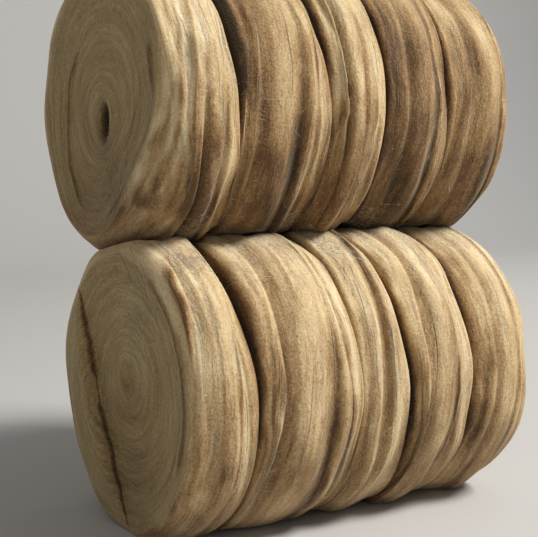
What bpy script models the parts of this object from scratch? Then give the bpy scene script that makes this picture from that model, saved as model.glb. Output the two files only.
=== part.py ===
"""Bundle of hemp fibre: ten wound rolls of combed hemp sliver, stacked as two rows of five.

The rolls lie on their rims with their axes along X. The lower row stands on z = 0, pressed flat
where it rests, and the upper row is stacked on it, a little further back. Rolls in a row lean
against each other face to face. The origin is the middle of the bundle's footprint, +Y is the
back, and an angle round a roll starts at its front and rises: 90 degrees is its top.
"""

import math

import bmesh
import bpy
import numpy as np

# Sizes of the stack, in metres and degrees
RADIUS = 0.150
FLOOR_SQUASH = 0.014
ROW_SPACING = 0.270
ROW_LEAN = 10.7
HALF_GAP = 0.00015
FIRST_FACE = (-0.20027, -0.02436)
MM = 0.001

# The turned drum that each roll is pressed from: round the rim, and up its side
SEGMENTS = 36
FACE_SHARE = 0.8
RIM_SHARE = 0.9999
WRAP_STEPS = (0.0, 0.2, 0.8)
SHOULDER_STEPS = (0.5,)
OUTER_SHOULDER_STEPS = (0.35, 0.7)
OUTER_FACE_STEPS = (0.06, 0.14, 0.28, 0.42, 0.56, 0.7, 0.85)

# How a roll's side is rounded
CROWN_POWER = 2.6
WRAP_POWER = 4.0
RIM_EDGE_DROP = 2.5 * MM
ROOT_BASE = 13.0 * MM
ROOT_PER_RUN = 1.2
OUTER_ROOT_PER_RUN = 2.0

# Where neighbours meet: place from the row's first face, its shift to the right at the top and at
# the front, the notch's half width at its narrowest, what it gains, the angle of the gain, and
# how narrow that gain is
JOINTS = {
    "lower": [
        # at, lean, sway, slot, gape, gape_at, narrow
        (0.0, 0.0, 0.0, 10.0, 2.0, 60.0, 1.0),
        (65.0, -2.0, 1.0, 3.5, 10.0, 60.0, 1.0),
        (174.0, 0.0, 1.0, 2.5, 4.0, 100.0, 1.0),
        (234.5, -12.0, 2.0, 4.5, 2.5, 60.0, 1.0),
        (312.0, 0.0, 1.0, 2.5, 10.0, 60.0, 1.0),
        (391.0, 2.0, -1.0, 10.0, 2.0, 90.0, 1.0),
    ],
    "upper": [
        (4.5, 0.0, 0.0, 8.0, 20.0, -45.0, 3.0),
        (80.0, -3.0, 0.0, 3.0, 8.0, 26.0, 1.0),
        (178.5, 1.0, 0.0, 3.0, 7.0, 14.0, 1.0),
        (243.0, 8.0, 0.0, 3.0, 4.0, 25.0, 1.0),
        (323.0, 9.0, 0.0, 3.0, 3.0, 35.0, 1.0),
        (405.0, 3.0, 1.0, 10.0, 2.0, 60.0, 1.0),
    ],
}

# Each roll's own size over the common radius, the fall of its sides, and its slight oval
ROLLS = {
    "lower": [
        # swell, crown, oval, oval_at
        (-1.0, 6.0, 1.5, 40.0),
        (2.0, 8.0, 1.5, 20.0),
        (0.5, 5.5, 1.0, 60.0),
        (2.0, 7.0, 1.5, 35.0),
        (1.0, 7.0, 1.0, 10.0),
    ],
    "upper": [
        (0.0, 7.0, 1.5, -20.0),
        (1.5, 8.0, 1.5, 30.0),
        (0.5, 6.0, 1.0, 0.0),
        (1.0, 7.0, 1.0, 45.0),
        (0.0, 7.0, 1.5, 15.0),
    ],
}

# The creases between a roll's wraps: its roll, place and shifts as above, depth, how far the
# depth swings, the angle where it is deepest, and the height of the wrap to its right
CREASES = {
    "lower": [
        # roll, at, lean, sway, deep, swing, deep_at, lift
        (1, 17.0, -1.0, 0.0, 2.0, 0.8, 40.0, 1.0),
        (1, 40.0, 3.0, 1.0, 1.8, 0.5, -10.0, 0.5),
        (2, 85.0, 9.0, 2.0, 4.5, 0.7, 15.0, 2.0),
        (2, 140.0, 0.0, 1.0, 2.2, 0.8, -20.0, 1.0),
        (2, 157.0, -2.0, 1.0, 3.5, 0.5, 10.0, -1.0),
        (3, 203.0, 9.0, 1.0, 4.0, 0.6, 15.0, 1.0),
        (4, 244.0, 6.0, 2.0, 4.5, 0.6, 40.0, 2.0),
        (4, 286.0, 0.0, 1.0, 1.8, 0.7, -15.0, 0.5),
        (5, 340.0, 2.0, 0.0, 2.0, 0.5, 0.0, 1.0),
        (5, 366.0, 4.0, 1.0, 2.5, 0.4, 30.0, 0.0),
    ],
    "upper": [
        (1, 37.0, -1.0, 2.0, 5.0, 0.9, -32.0, -3.0),
        (1, 60.0, -2.0, 2.0, 4.5, 0.9, -32.0, 1.5),
        (2, 97.0, 6.0, 1.0, 5.0, 0.8, 20.0, 1.0),
        (2, 138.0, 0.0, 2.0, 3.0, 0.7, -35.0, 1.0),
        (2, 158.0, 1.0, 0.0, 3.0, 0.6, 15.0, 0.0),
        (3, 194.0, 5.0, 1.0, 2.5, 0.8, 0.0, 1.5),
        (3, 213.0, 5.0, 0.0, 2.2, 0.5, 5.0, 0.5),
        (4, 269.0, 6.0, 0.0, 2.0, 0.5, 10.0, 1.0),
        (4, 304.0, 5.0, 1.0, 3.0, 0.6, -20.0, 0.5),
        (5, 350.0, 5.0, 0.0, 2.0, 0.5, 10.0, 1.0),
        (5, 388.0, 3.0, 0.0, 3.0, 0.5, -25.0, -0.5),
    ],
}

# The first lower roll's face: sunk behind a flap that is folded over its back edge
FACE_SINK = 11.0 * MM
FLAP_LINE = (1.0, 0.59, 0.318)
FLAP_RISE = 8.0 * MM
FLAP_GROOVE = 5.0 * MM
FLAP_SOFTNESS = 0.052

# The first upper roll's face: nearly flat, with the eye left where its winding starts
EYE_OFFSET = (0.067, -0.093)
EYE_HALF_WIDTH = 0.055
EYE_HALF_HEIGHT = 0.093
EYE_DEPTH = 26.0 * MM
END_DISH = 5.0 * MM

# Hemp colours, dry straw to grey brown
STRAW = (0.52, 0.39, 0.24)
GREY_BROWN = (0.36, 0.28, 0.18)
FIBRE_ROUGHNESS = 0.85


def clear_scene():
    for old in list(bpy.data.objects):
        bpy.data.objects.remove(old)


def row_axis(row):
    """The (y, z) of a row's common axis."""
    y = FIRST_FACE[1]
    z = RADIUS - FLOOR_SQUASH
    if row == "upper":
        y += ROW_SPACING * math.sin(math.radians(ROW_LEAN))
        z += ROW_SPACING * math.cos(math.radians(ROW_LEAN))
    return y, z


def toward(angle, peak, narrow=1.0):
    """1 where an angle round the roll meets the peak, falling to 0 on the far side."""
    return (0.5 + 0.5 * np.cos(angle - math.radians(peak))) ** (2.0 * narrow)


def notch_run(joint, angle):
    """Half the width of the notch between two rims."""
    slot, gape, gape_at, narrow = joint[3:]
    return (slot + gape * toward(angle, gape_at, narrow)) * MM


def root_radius(joint, angle, outer):
    """How far out two neighbours still lie face to face, or where an outer face starts to turn."""
    if outer:
        return RADIUS - OUTER_ROOT_PER_RUN * notch_run(joint, angle)
    return RADIUS - ROOT_BASE - ROOT_PER_RUN * notch_run(joint, angle)


def plane_x(at, lean, sway, y, z):
    """The x of a slightly tilted upright plane, at y and z from the row's axis."""
    return FIRST_FACE[0] + at * MM + (lean * z - sway * y) * MM / RADIUS


def press(row, y, z):
    """Flattens what reaches past the floor, or past the plane where the two rows meet."""
    lean = math.radians(ROW_LEAN)
    up = (math.sin(lean), math.cos(lean))
    reach = ROW_SPACING / 2 - HALF_GAP
    side = 1.0 if row == "lower" else -1.0
    past = np.maximum(side * (y * up[0] + z * up[1]) - reach, 0.0)
    y = y - side * past * up[0]
    z = z - side * past * up[1]
    if row == "lower":
        z = np.maximum(z, FLOOR_SQUASH - RADIUS)
    return y, z


def face_relief(row, number, across, up, share):
    """How far an outer face stands in, from places across and up it in radii, and out to its edge."""
    reach = np.clip(share, 0.0, 1.0) ** 4
    if (row, number) == ("lower", 1):
        a, b, c = FLAP_LINE
        side = (a * across + b * up + c) / math.hypot(a, b)
        inner = 0.5 + 0.5 * np.tanh(side / FLAP_SOFTNESS)
        groove = np.exp(-((side / FLAP_SOFTNESS) ** 2))
        sink = FACE_SINK * (1.0 - reach) * inner - FLAP_RISE * (1.0 - inner) * (1.0 - reach)
        return sink + FLAP_GROOVE * groove * (1.0 - reach)
    dish = END_DISH * (1.0 - reach)
    if number == 1:
        aside = (across - EYE_OFFSET[0]) / EYE_HALF_WIDTH
        above = (up - EYE_OFFSET[1]) / EYE_HALF_HEIGHT
        dish = dish + EYE_DEPTH * np.exp(-(aside**2) - above**2)
    return dish


def blank_profile(wraps, outer_left, outer_right):
    """The drum's side view as (place across, radius), from the first face's middle to the last's."""
    left = OUTER_FACE_STEPS if outer_left else ()
    right = OUTER_FACE_STEPS if outer_right else ()
    left_shoulder = OUTER_SHOULDER_STEPS if outer_left else SHOULDER_STEPS
    right_shoulder = OUTER_SHOULDER_STEPS if outer_right else SHOULDER_STEPS
    profile = [(0.0, 0.0)]
    profile += [(0.0, FACE_SHARE * step) for step in left + (1.0,)]
    profile += [(0.0, FACE_SHARE + (1.0 - FACE_SHARE) * step) for step in left_shoulder]
    profile += [((wrap + step) / wraps, 1.0) for wrap in range(wraps) for step in WRAP_STEPS]
    profile.append((1.0, 1.0))
    shoulder = reversed(right_shoulder)
    profile += [(1.0, FACE_SHARE + (1.0 - FACE_SHARE) * step) for step in shoulder]
    profile += [(1.0, FACE_SHARE * step) for step in reversed(right + (1.0,))]
    profile.append((1.0, 0.0))
    return profile


def turned_blank(wraps, outer_left, outer_right):
    """A drum of width 1 and radius 1, turned from its profile about X."""
    drum = bmesh.new()
    profile = blank_profile(wraps, outer_left, outer_right)
    verts = [drum.verts.new((x, -radius, 0.0)) for x, radius in profile]
    edges = [drum.edges.new(pair) for pair in zip(verts[:-1], verts[1:])]
    bmesh.ops.spin(
        drum,
        geom=verts + edges,
        cent=(0.0, 0.0, 0.0),
        axis=(1.0, 0.0, 0.0),
        angle=2.0 * math.pi,
        steps=SEGMENTS,
        use_merge=True,
    )
    bmesh.ops.remove_doubles(drum, verts=drum.verts, dist=0.00001)
    bmesh.ops.recalc_face_normals(drum, faces=drum.faces)
    return drum


def rim_shape(row, number, place, angle):
    """The rim of a roll: which wrap a point is on, how far across that wrap, and its radius."""
    creases = [crease for crease in CREASES[row] if crease[0] == number]
    swell, crown, oval, oval_at = ROLLS[row][number - 1]
    wraps = len(creases) + 1
    wrap = np.minimum((place * wraps).astype(int), wraps - 1)
    step = place * wraps - wrap
    radius = RADIUS + MM * (swell + oval * np.cos(2.0 * (angle - math.radians(oval_at))))
    radius = radius - crown * MM * np.abs(2.0 * place - 1.0) ** CROWN_POWER
    depths = [np.full_like(angle, RIM_EDGE_DROP)]
    lifts = [0.0]
    for _, at, lean, sway, deep, swing, deep_at, lift in creases:
        share = 1.0 - swing + 2.0 * swing * toward(angle, deep_at)
        depths.append(deep * MM * share)
        lifts.append(lift * MM)
    depths.append(np.full_like(angle, RIM_EDGE_DROP))
    depths = np.array(depths)
    each = np.arange(len(place))
    depth = np.where(step < 0.5, depths[wrap, each], depths[wrap + 1, each])
    valley = np.abs(2.0 * step - 1.0) ** WRAP_POWER
    radius = radius + np.array(lifts)[wrap] * (1.0 - valley) - depth * valley
    return wrap, step, radius


def shape_roll(row, number, blank):
    """Moves a drum's points to where the wound roll has them."""
    left, right = JOINTS[row][number - 1 : number + 1]
    outer = (number == 1, number == len(ROLLS[row]))
    creases = [crease for crease in CREASES[row] if crease[0] == number]
    place = np.clip(blank[:, 0], 0.0, 1.0)
    drum = np.hypot(blank[:, 1], blank[:, 2])
    angle = np.arctan2(blank[:, 2], -blank[:, 1])
    wrap, step, rim_radius = rim_shape(row, number, place, angle)
    on_rim = drum > RIM_SHARE
    at_left = place < 0.5
    roots = [root_radius(joint, angle, end) for joint, end in zip((left, right), outer)]
    root = np.where(at_left, *roots)
    run = np.where(at_left, notch_run(left, angle), notch_run(right, angle))
    turn = np.clip((drum - FACE_SHARE) / (1.0 - FACE_SHARE), 0.0, 1.0) * math.pi / 2.0
    face_radius = root * np.minimum(drum / FACE_SHARE, 1.0)
    radius = np.where(turn > 0.0, root + (rim_radius - root) * np.sin(turn), face_radius)
    radius = np.where(on_rim, rim_radius, radius)
    y, z = press(row, -radius * np.cos(angle), radius * np.sin(angle))

    planes = [plane_x(*left[:3], y, z) + HALF_GAP + notch_run(left, angle)]
    planes += [plane_x(at, lean, sway, y, z) for _, at, lean, sway, *rest in creases]
    planes.append(plane_x(*right[:3], y, z) - HALF_GAP - notch_run(right, angle))
    planes = np.array(planes)
    each = np.arange(len(place))
    rim_x = planes[wrap, each] * (1.0 - step) + planes[wrap + 1, each] * step
    inward = np.where(at_left, 1.0, -1.0)
    face_x = np.where(at_left, plane_x(*left[:3], y, z), plane_x(*right[:3], y, z))
    face_x = face_x + inward * (HALF_GAP + run * (1.0 - np.cos(turn)))
    relief = face_relief(row, number, -y / RADIUS, z / RADIUS, face_radius / root)
    has_relief = np.where(at_left, outer[0], outer[1]) & ~on_rim
    face_x = face_x + inward * np.where(has_relief & (turn <= 0.0), relief, 0.0)
    axis_y, axis_z = row_axis(row)
    return np.stack([np.where(on_rim, rim_x, face_x), y + axis_y, z + axis_z], axis=1)


def hemp_material(name, share):
    """Dry combed hemp, each roll a shade between straw and grey brown."""
    material = bpy.data.materials.new(name)
    material.use_nodes = True
    shader = material.node_tree.nodes["Principled BSDF"]
    colour = [a + (b - a) * share for a, b in zip(STRAW, GREY_BROWN)]
    shader.inputs["Base Color"].default_value = (*colour, 1.0)
    shader.inputs["Roughness"].default_value = FIBRE_ROUGHNESS
    shader.inputs["Metallic"].default_value = 0.0
    return material


def add_roll(collection, row, number):
    """One wound roll: a turned drum, pressed and creased to its wraps."""
    creases = [crease for crease in CREASES[row] if crease[0] == number]
    drum = turned_blank(len(creases) + 1, number == 1, number == len(ROLLS[row]))
    blank = np.array([vert.co for vert in drum.verts], dtype=float)
    for vert, place in zip(drum.verts, shape_roll(row, number, blank)):
        vert.co = place
    bmesh.ops.triangulate(drum, faces=drum.faces, quad_method="SHORT_EDGE")
    name = f"roll_{row}_{number}"
    mesh = bpy.data.meshes.new(name)
    drum.to_mesh(mesh)
    drum.free()
    mesh.shade_smooth()
    roll = bpy.data.objects.new(name, mesh)
    share = (number * 2 + len(row)) % 5 / 5.0
    mesh.materials.append(hemp_material(f"hemp_{row}_{number}", share))
    collection.objects.link(roll)
    return roll


clear_scene()
bundle = bpy.data.collections.new("hemp_fibre_bundle")
bpy.context.scene.collection.children.link(bundle)
for row in ("lower", "upper"):
    for number in range(1, len(ROLLS[row]) + 1):
        add_roll(bundle, row, number)
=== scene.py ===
import itertools
import math

import bpy
import numpy as np
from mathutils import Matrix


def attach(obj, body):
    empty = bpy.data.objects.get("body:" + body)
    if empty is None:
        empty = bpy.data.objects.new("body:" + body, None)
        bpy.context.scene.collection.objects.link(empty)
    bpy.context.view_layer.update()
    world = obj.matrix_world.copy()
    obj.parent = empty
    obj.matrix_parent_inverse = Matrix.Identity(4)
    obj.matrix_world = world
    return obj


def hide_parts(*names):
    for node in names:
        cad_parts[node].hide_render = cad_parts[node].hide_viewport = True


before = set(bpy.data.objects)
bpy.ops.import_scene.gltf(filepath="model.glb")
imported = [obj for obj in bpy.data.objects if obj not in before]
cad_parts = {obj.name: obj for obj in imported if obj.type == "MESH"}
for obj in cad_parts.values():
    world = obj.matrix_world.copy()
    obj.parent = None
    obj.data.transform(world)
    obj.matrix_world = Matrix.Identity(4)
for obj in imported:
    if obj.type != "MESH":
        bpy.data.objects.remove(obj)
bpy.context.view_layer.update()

bpy.ops.object.select_all(action="DESELECT")

# The wound rolls
# Ten rolls of combed hemp sliver, wound by hand in a few wide wraps with no core, so their rims
# are creased and their end faces show the turns edge on. They lie in two rows, pressed flat
# where they rest on the floor and on each other.
MM = 0.001
RADIUS = 0.150
FLOOR_SQUASH = 0.014
ROW_SPACING = 0.270
ROW_LEAN = math.radians(10.7)
ROW_UP = (math.sin(ROW_LEAN), math.cos(ROW_LEAN))
HALF_GAP = 0.00015

# X of the rows' left end, and Y of the lower row's axis
FIRST_FACE = (-0.20027, -0.02436)

# Each roll is shaped from a drum, whose flat face ends at one share of its radius and whose
# shoulder ends at the other
FACE_SHARE = 0.8
RIM_SHARE = 0.9999

# How deep the notches between rolls go, and how the wraps fall towards their edges and creases
ROOT_BASE = 13.0 * MM
ROOT_PER_RUN = 1.2
CLOSED_RISE = 8.0 * MM
OUTER_ROOT_PER_RUN = 2.0
NARROWEST_RUN = 1.0 * MM
RIM_EDGE_DROP = 1.0 * MM
CROWN_FROM = 0.15
VALLEY_FROM = 0.10
VALLEY_POWER = 1.5
CREASE_WANDER = 3.0 * MM

# Where neighbours meet: place from the row's first face, its shift to the right at the top and
# at the front, half the notch's width, what it gains, at what angle, and how narrowly
JOINTS = {
    "lower": [
        # at, lean, sway, slot, gape, gape_at, narrow
        (0.0, 0.0, 0.0, 10.0, 2.0, 60.0, 1.0),
        (65.0, -2.0, 1.0, 3.0, 11.5, 42.0, 1.5),
        (174.0, 0.0, 1.0, 2.5, 4.0, 100.0, 1.0),
        (234.5, -12.0, 2.0, 4.0, 4.0, 0.0, 1.0),
        (312.0, 0.0, 1.0, 2.5, 8.0, 60.0, 1.0),
        (391.0, 2.0, -1.0, 10.0, 2.0, 90.0, 1.0),
    ],
    "upper": [
        (4.5, 0.0, 0.0, 8.0, 20.0, -45.0, 3.0),
        (80.0, -3.0, 0.0, 2.5, 10.0, 50.0, 2.5),
        (178.5, 1.0, 0.0, 2.5, 8.5, 42.0, 3.0),
        (243.0, 8.0, 0.0, 2.5, 6.5, 40.0, 1.6),
        (323.0, 9.0, 0.0, 2.5, 3.5, 40.0, 1.6),
        (405.0, 3.0, 1.0, 10.0, 2.0, 60.0, 1.0),
    ],
}

# Each roll's size over the common radius, the fall of its sides, its oval, and its shade
ROLLS = {
    "lower": [
        # swell, crown, oval, oval_at, shade
        (-1.0, 6.0, 1.5, 40.0, 0.60),
        (2.0, 8.0, 1.5, 20.0, 0.58),
        (0.5, 5.5, 1.0, 60.0, 0.62),
        (2.0, 7.0, 1.5, 35.0, 0.57),
        (1.0, 7.0, 1.0, 10.0, 0.56),
    ],
    "upper": [
        (0.0, 7.0, 1.5, -20.0, 0.58),
        (1.5, 8.0, 1.5, 30.0, 0.46),
        (0.5, 6.0, 1.0, 0.0, 0.53),
        (1.0, 7.0, 1.0, 45.0, 0.32),
        (0.0, 7.0, 1.5, 15.0, 0.43),
    ],
}

# The creases between a roll's wraps: place and shifts as above, the depth, how much that swings
# round the roll, where it is deepest, and how far the wrap to the right of it stands up
CREASES = {
    "lower": [
        # roll, at, lean, sway, deep, swing, deep_at, lift
        (1, 26.0, -1.0, 0.0, 1.2, 0.8, 60.0, 0.0),
        (1, 45.0, 3.0, 1.0, 1.4, 0.7, -10.0, 0.5),
        (2, 85.0, 9.0, 2.0, 3.4, 0.7, 15.0, 1.0),
        (2, 140.0, 0.0, 1.0, 2.2, 0.8, -20.0, 1.0),
        (2, 157.0, -2.0, 1.0, 1.8, 0.5, 10.0, 0.0),
        (3, 203.0, 9.0, 1.0, 3.0, 0.7, 15.0, 1.0),
        (4, 250.0, 6.0, 2.0, 3.2, 0.6, 40.0, 1.0),
        (4, 286.0, 0.0, 1.0, 1.8, 0.7, -15.0, 0.5),
        (5, 340.0, 2.0, 0.0, 2.0, 0.5, 0.0, 1.0),
        (5, 366.0, 4.0, 1.0, 2.5, 0.4, 30.0, 0.0),
    ],
    "upper": [
        (1, 37.0, -1.0, 2.0, 3.4, 1.0, -58.0, -1.0),
        (1, 60.0, -2.0, 2.0, 2.8, 1.0, -55.0, 0.5),
        (2, 97.0, 6.0, 1.0, 1.6, 0.8, 20.0, 0.5),
        (2, 138.0, 0.0, 2.0, 3.0, 0.7, -35.0, 1.0),
        (2, 158.0, 1.0, 0.0, 1.0, 0.6, 15.0, 0.5),
        (3, 194.0, 5.0, 1.0, 2.5, 0.8, 0.0, 1.5),
        (3, 213.0, 5.0, 0.0, 2.2, 0.5, 5.0, 0.5),
        (4, 269.0, 6.0, 0.0, 2.0, 0.5, 10.0, 1.0),
        (4, 304.0, 5.0, 1.0, 3.0, 0.6, -20.0, 0.5),
        (5, 350.0, 5.0, 0.0, 2.0, 0.5, 10.0, 1.0),
        (5, 388.0, 3.0, 0.0, 3.0, 0.5, -25.0, -0.5),
    ],
}

# The sunk first lower face, with a flap over its back part whose edge is a bowed line: across the
# face at mid height in radii, then for each radius up, then for each squared
FACE_SINK = 11.0 * MM
FLAP_LINE = (-0.470, -0.420, 0.200)
FLAP_RISE = 8.0 * MM
FLAP_GROOVE = 3.0 * MM
FLAP_SOFTNESS = 0.030

# The painted shade of the line under the flap's edge: at what heights in millimetres it comes in, and
# how it strays. Away from it, points are given a distance that is too far to be dark
LINE_HALF_WIDTH = 2.4 * MM
LINE_ABOVE = (-6.0, 12.0)
LINE_BELOW = (18.0, 32.0)
LINE_BELOW_SHARE = 0.7
LINE_FAINTEST = 0.15
LINE_RAGGED = 0.006
NO_LINE = 1.0

# The eye of the first upper face, across and up it in radii, and the dish of every outer face
EYE_OFFSET = (-0.010, -0.080)
EYE_HALF_WIDTH = 0.045
EYE_HALF_HEIGHT = 0.093
EYE_DEPTH = 14.0 * MM
END_DISH = 5.0 * MM

# Where the turns of an outer face are centred, across and up it in radii
WINDING_CENTRE = {("lower", 1): (-0.10, 0.06), ("upper", 1): (-0.01, -0.08)}
OTHER_CENTRE = (0.03, 0.04)

# How far past its flat part a face keeps its own look, as a share of the drum
FACE_EDGE_SHIFT = {("lower", 1): 0.05}
OTHER_EDGE_SHIFT = 0.03
FACE_EDGE_SOFTNESS = 0.06

# The surface where the rows meet, in millimetres, with its waves' lengths, phases and shares
CONTACT_WAVE = 0.9
CONTACT_WAVES = ((6.1, 1.0, 1.0), (2.9, 2.2, 0.7))
UPPER_NOTCH_RISE = 8.0
LOWER_NOTCH_DROP = 4.0
CONTACT_REACH = 13.0
EDGE_WAVE = 2.0 * MM

# Single creases and strands on the rims: from a place in millimetres at an angle in degrees to
# another, the half width, the depth, and how much paler the fibre is. The tone is partly the fibre's
# own streaks and partly painted shade, along the creases and in the valleys beside the joints
RIM_MARKS = {
    "lower": [
        # roll, at, angle, to_at, to_angle, width, deep, tone
        (1, 43.5, 12.0, 43.0, -30.0, 1.8, 2.0, -0.10),
        (1, 6.0, 14.0, 6.0, -75.0, 7.0, 0.0, -0.15),
        (1, 4.0, 125.0, 4.0, 74.0, 7.0, 0.0, -0.14),
        (1, 30.0, 5.0, 28.0, -55.0, 8.0, 0.0, -0.10),
        (2, 90.0, 16.0, 76.0, -6.0, 3.6, 1.6, -0.10),
        (2, 79.0, 60.0, 76.0, -30.0, 7.0, 0.0, -0.14),
        (2, 118.0, 66.0, 112.0, 36.0, 1.8, 2.0, -0.10),
        (2, 141.0, 15.0, 141.0, -50.0, 4.0, 1.0, -0.20),
        (2, 155.0, 20.0, 154.0, -40.0, 5.0, 0.0, -0.12),
        (2, 163.0, 70.0, 165.0, -15.0, 4.0, -0.8, 0.10),
        (3, 184.0, 30.0, 180.0, -50.0, 6.0, 0.0, -0.14),
        (4, 240.0, 85.0, 238.0, 10.0, 4.0, -1.0, 0.12),
        (4, 228.0, 76.0, 240.0, 0.0, 6.0, 0.5, -0.22),
        (4, 288.0, 10.0, 281.0, -35.0, 2.2, 2.5, -0.12),
        (4, 262.0, 60.0, 262.0, 15.0, 7.0, -1.0, 0.03),
        (5, 320.0, 76.0, 320.0, -30.0, 8.0, 0.5, -0.24),
    ],
    "upper": [
        (1, 33.5, -10.0, 37.0, -45.0, 2.8, 2.2, -0.12),
        (1, 60.5, -12.0, 64.0, -50.0, 2.4, 1.4, -0.05),
        (1, 47.0, -10.0, 51.0, -60.0, 8.0, 1.5, -0.10),
        (1, 68.0, -5.0, 70.0, -60.0, 4.0, -1.5, 0.14),
        (1, 38.0, 78.0, 12.0, -54.0, 2.6, -0.9, 0.17),
        (1, 33.0, 78.0, 8.0, -50.0, 1.6, 0.9, -0.12),
        (1, 28.0, 78.0, 6.0, -42.0, 2.6, -0.7, 0.15),
        (1, 43.0, 74.0, 20.0, -60.0, 1.8, 0.9, -0.12),
        (1, 49.0, 74.0, 27.0, -64.0, 2.8, -0.9, 0.13),
        (1, 24.0, 64.0, 5.0, -22.0, 1.6, 0.7, -0.10),
        (1, 20.0, 60.0, 16.0, -50.0, 1.6, 0.8, -0.12),
        (2, 83.0, 84.0, 84.0, 2.0, 4.5, 1.5, -0.38),
        (2, 96.0, 44.0, 90.0, 2.0, 5.0, 1.0, -0.12),
        (2, 153.5, 50.0, 158.5, 8.0, 2.6, 2.6, -0.10),
        (2, 110.0, -14.0, 124.0, -60.0, 6.5, 1.0, -0.11),
        (2, 132.0, -8.0, 146.0, -58.0, 6.5, 1.0, -0.13),
        (2, 168.0, 25.0, 164.0, -30.0, 6.0, -1.5, 0.12),
        (3, 197.0, 7.0, 180.0, -11.0, 3.0, 3.0, -0.16),
        (3, 186.0, 45.0, 184.0, 0.0, 6.0, -2.0, 0.12),
        (3, 212.0, 35.0, 204.0, -35.0, 3.5, 1.5, -0.18),
        (3, 224.0, 0.0, 220.0, -55.0, 6.0, 0.0, -0.16),
        (3, 233.0, 25.0, 226.0, -40.0, 3.5, -1.5, 0.14),
        (4, 256.0, 40.0, 250.0, -20.0, 7.0, 1.0, -0.05),
        (4, 284.0, -8.0, 276.0, -60.0, 6.0, 0.0, -0.10),
        (4, 311.0, 25.0, 304.0, -45.0, 3.5, -1.5, 0.14),
        (5, 372.0, -12.0, 366.0, -60.0, 6.0, 0.0, -0.12),
        (5, 393.7, 8.0, 394.0, -50.0, 3.0, -1.5, 0.14),
    ],
}

# The same on the first rolls' outer faces, with the distance from the axis for the place
FACE_MARKS = {
    "lower": [
        (1, 143.5, 60.0, 138.0, 20.0, 2.0, 3.2, -0.34),
        (1, 135.0, 72.0, 131.0, 14.0, 3.6, -0.8, -0.05),
        (1, 121.0, 62.0, 124.0, 20.0, 2.6, 3.0, -0.12),
        (1, 124.0, 20.0, 117.0, -28.0, 2.8, 3.0, -0.18),
    ],
    "upper": [
        (1, 115.0, 27.0, 111.0, 8.0, 2.6, 3.0, -0.16),
        (1, 112.0, -16.0, 108.0, -72.0, 3.0, 1.5, -0.10),
        (1, 128.0, -14.0, 116.0, -58.0, 5.0, 0.5, -0.10),
        (1, 140.0, 12.0, 102.0, -28.0, 5.0, -1.0, 0.16),
        (1, 102.0, -28.0, 101.0, -62.0, 4.0, -1.0, 0.16),
        (1, 81.0, 132.0, 84.0, 182.0, 2.2, 2.5, -0.12),
        (1, 84.0, 182.0, 108.0, 240.0, 2.2, 2.0, -0.08),
        (1, 104.0, -84.0, 90.0, -58.0, 1.8, 1.5, -0.10),
    ],
}

# How many degrees a mark takes to come in at its ends, and how ragged its sides are
MARK_ENDS = 6.0
MARK_RAGGED = 1.2

# How the strands of the first upper roll sweep over its edge: between what angles, how many
# millimetres to a degree, and where the sweep dies out across the rim and on the shoulder
FAN_ANGLES = (-62.0, 80.0)
FAN_SWEEP = 0.20
FAN_REACH = (32.0, 60.0)
FAN_SHOULDER = (FACE_SHARE - 0.02, FACE_SHARE + 0.06)

# The grid of a roll's surface: steps round it, columns across its rim, rings down its ends
ROUND_STEPS = 216
COLUMN = 1.2 * MM
SHOULDER_RINGS = 9
FACE_RINGS = 64
HIDDEN_RINGS = 2
SEAM_ANGLE = -math.pi / 2


def toward(angle, peak, narrow=1.0):
    """1 at a peak given in degrees, falling to 0 on the other side of the roll."""
    return (0.5 + 0.5 * np.cos(angle - math.radians(peak))) ** (2.0 * narrow)


def notch_run(joint, angle):
    """Half the width of the notch at a joint, round the roll."""
    slot, gape, gape_at, narrow = joint[3:]
    return (slot + gape * toward(angle, gape_at, narrow)) * MM


def root_radius(joint, angle, outer):
    """The radius where a notch closes, or where an outer face meets its shoulder."""
    if outer:
        return RADIUS - OUTER_ROOT_PER_RUN * notch_run(joint, angle)
    closed = CLOSED_RISE * (1.0 - toward(angle, *joint[5:]))
    return RADIUS - ROOT_BASE - ROOT_PER_RUN * notch_run(joint, angle) + closed


def plane_x(at, lean, sway, y, z):
    """X of the plane of a joint or a crease, which may lean and sway."""
    return FIRST_FACE[0] + at * MM + (lean * z - sway * y) * MM / RADIUS


def contact_rise(row, number, place):
    """How far the contact between the rows rises, as each row presses into the other's notches."""
    side = 1.0 if row == "lower" else -1.0
    left, right = JOINTS[row][number - 1 : number + 1]
    start = left[0] + side * left[1]
    x = start + (right[0] + side * right[1] - start) * place
    waves = (size * np.sin(x / length + phase) for length, phase, size in CONTACT_WAVES)
    rise = CONTACT_WAVE * sum(waves)
    for at, lean, *_ in JOINTS["upper"][1:-1]:
        rise = rise + UPPER_NOTCH_RISE * np.exp(-(((x - at + lean) / CONTACT_REACH) ** 2))
    for at, lean, *_ in JOINTS["lower"][1:-1]:
        rise = rise - LOWER_NOTCH_DROP * np.exp(-(((x - at - lean) / CONTACT_REACH) ** 2))
    return rise * MM


def past_contact(row, y, z, rise):
    """How far a point is past the surface where the two rows meet, negative short of it."""
    side = 1.0 if row == "lower" else -1.0
    return side * (y * ROW_UP[0] + z * ROW_UP[1]) - (ROW_SPACING / 2 - HALF_GAP + side * rise)


def press(row, y, z, rise=0.0):
    """Flattens what reaches past the floor, or past the surface where the two rows meet."""
    side = 1.0 if row == "lower" else -1.0
    past = np.maximum(past_contact(row, y, z, rise), 0.0)
    y = y - side * past * ROW_UP[0]
    z = z - side * past * ROW_UP[1]
    if row == "lower":
        z = np.maximum(z, FLOOR_SQUASH - RADIUS)
    return y, z


def row_axis(row):
    """Y and Z of a row's axis."""
    y = FIRST_FACE[1]
    z = RADIUS - FLOOR_SQUASH
    if row == "upper":
        y += ROW_SPACING * math.sin(ROW_LEAN)
        z += ROW_SPACING * math.cos(ROW_LEAN)
    return y, z


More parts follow.
